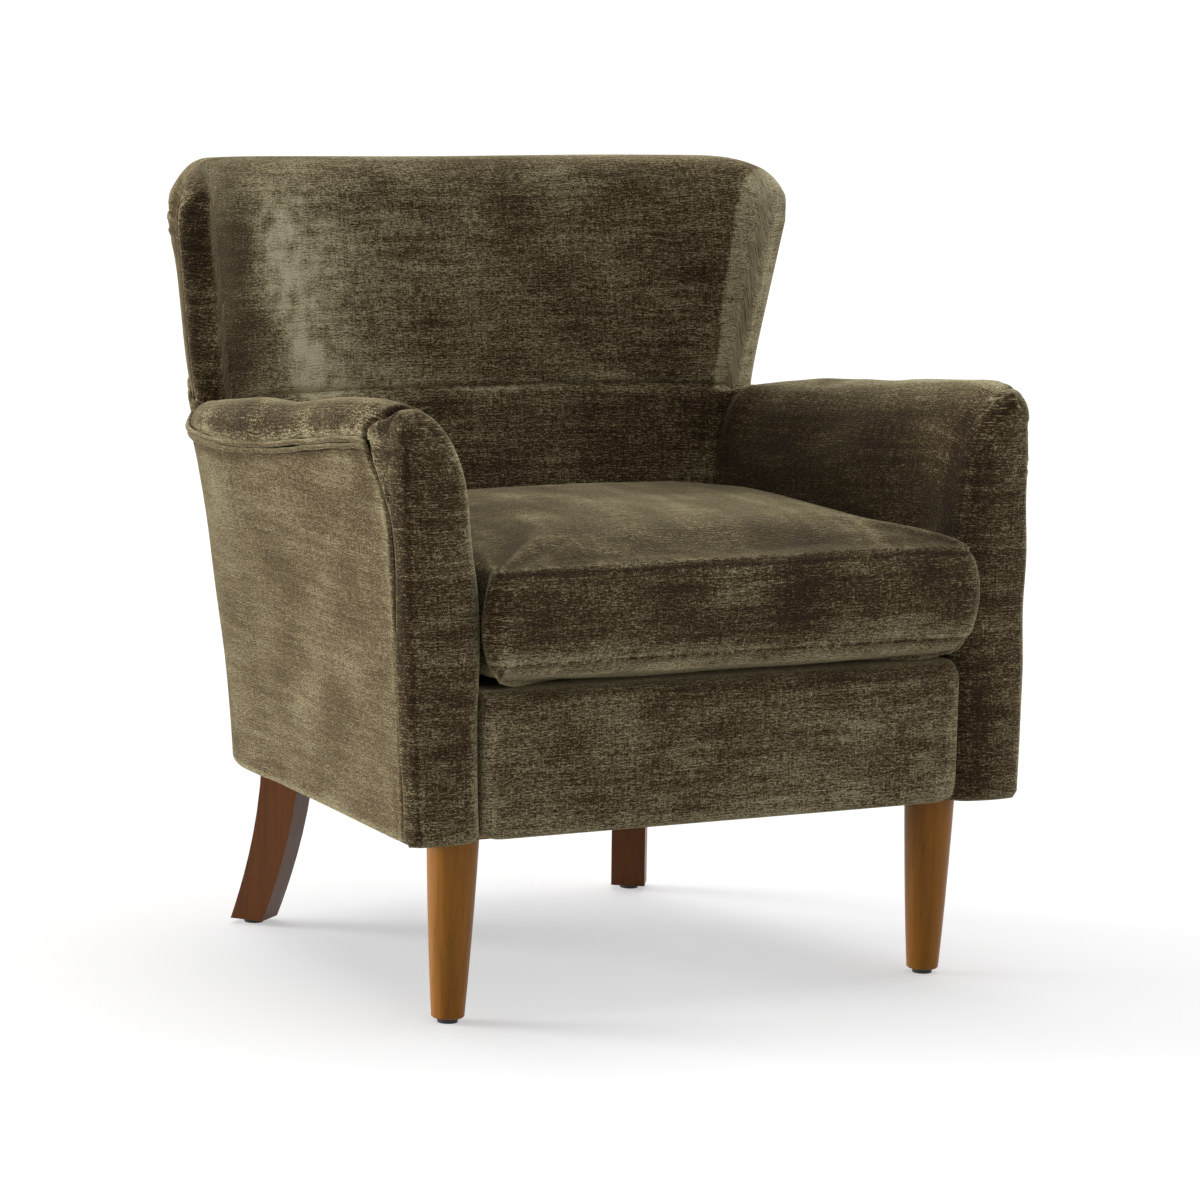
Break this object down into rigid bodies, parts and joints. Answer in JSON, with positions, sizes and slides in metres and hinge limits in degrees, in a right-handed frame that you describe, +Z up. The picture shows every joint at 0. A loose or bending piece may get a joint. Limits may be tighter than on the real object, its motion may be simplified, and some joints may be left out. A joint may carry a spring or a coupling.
{
  "type": "wingback armchair",
  "caption": "Low upholstered wingback armchair with rolled arms, piped arm edges, a loose boxed seat cushion, turned front legs and swept rear legs.",
  "frame": {"origin": "centre of the footprint box on the floor", "axes": "+X towards the sitter's left, -Y towards the front of the seat, +Z up"},
  "size_m": [0.7902, 0.7002, 0.8112],
  "materials": {
    "olive_chenille": "short chenille pile with a fine horizontal slub",
    "leg_walnut": "satin walnut stain",
    "leg_walnut_dark": "satin dark walnut stain",
    "frame_beech": "planed, unfinished",
    "steel": "bright zinc",
    "glide_plastic": "matt",
    "deck_cloth": "plain black lining cloth",
    "webbing": "woven elastic webbing",
    "cushion_filling": "soft foam in a wadding wrap"
  },
  "bodies": {
    "chair": {"front_rail": "frame_beech", "rear_rail": "frame_beech", "spring_rail": "frame_beech", "left_side_rail": "frame_beech", "right_side_rail": "frame_beech", "front_leg_blocks": "frame_beech", "rear_leg_blocks": "frame_beech", "left_arm_stump": "frame_beech", "right_arm_stump": "frame_beech", "left_arm_rail": "frame_beech", "right_arm_rail": "frame_beech", "left_corner_post": "frame_beech", "right_corner_post": "frame_beech", "left_back_post": "frame_beech", "right_back_post": "frame_beech", "back_top_rail": "frame_beech", "back_lumbar_rail": "frame_beech", "left_wing_board": "frame_beech", "right_wing_board": "frame_beech", "seat_springs": "steel", "spring_clips": "steel", "back_webbing": "webbing", "left_front_leg": "leg_walnut", "right_front_leg": "leg_walnut", "left_rear_leg": "leg_walnut_dark", "right_rear_leg": "leg_walnut_dark", "hanger_bolts": "steel", "tee_nuts": "steel", "glides": "glide_plastic", "inside_back_pad": "olive_chenille", "lumbar_pad": "olive_chenille", "left_arm_pad": "olive_chenille", "right_arm_pad": "olive_chenille", "left_arm_front": "olive_chenille", "right_arm_front": "olive_chenille", "left_outside_panel": "olive_chenille", "right_outside_panel": "olive_chenille", "outside_back_panel": "olive_chenille", "left_arm_piping": "olive_chenille", "right_arm_piping": "olive_chenille", "front_rail_cover": "olive_chenille", "seat_deck": "deck_cloth", "dust_cover": "deck_cloth"},
    "cushion": {"cushion_cover": "olive_chenille", "cushion_core": "cushion_filling"}
  },
  "joints": [
    {"name": "cushion_lift", "type": "slide", "parent": "chair", "child": "cushion", "axis": [0, 0, 1], "range_m": [0, 0.3]}
  ]
}
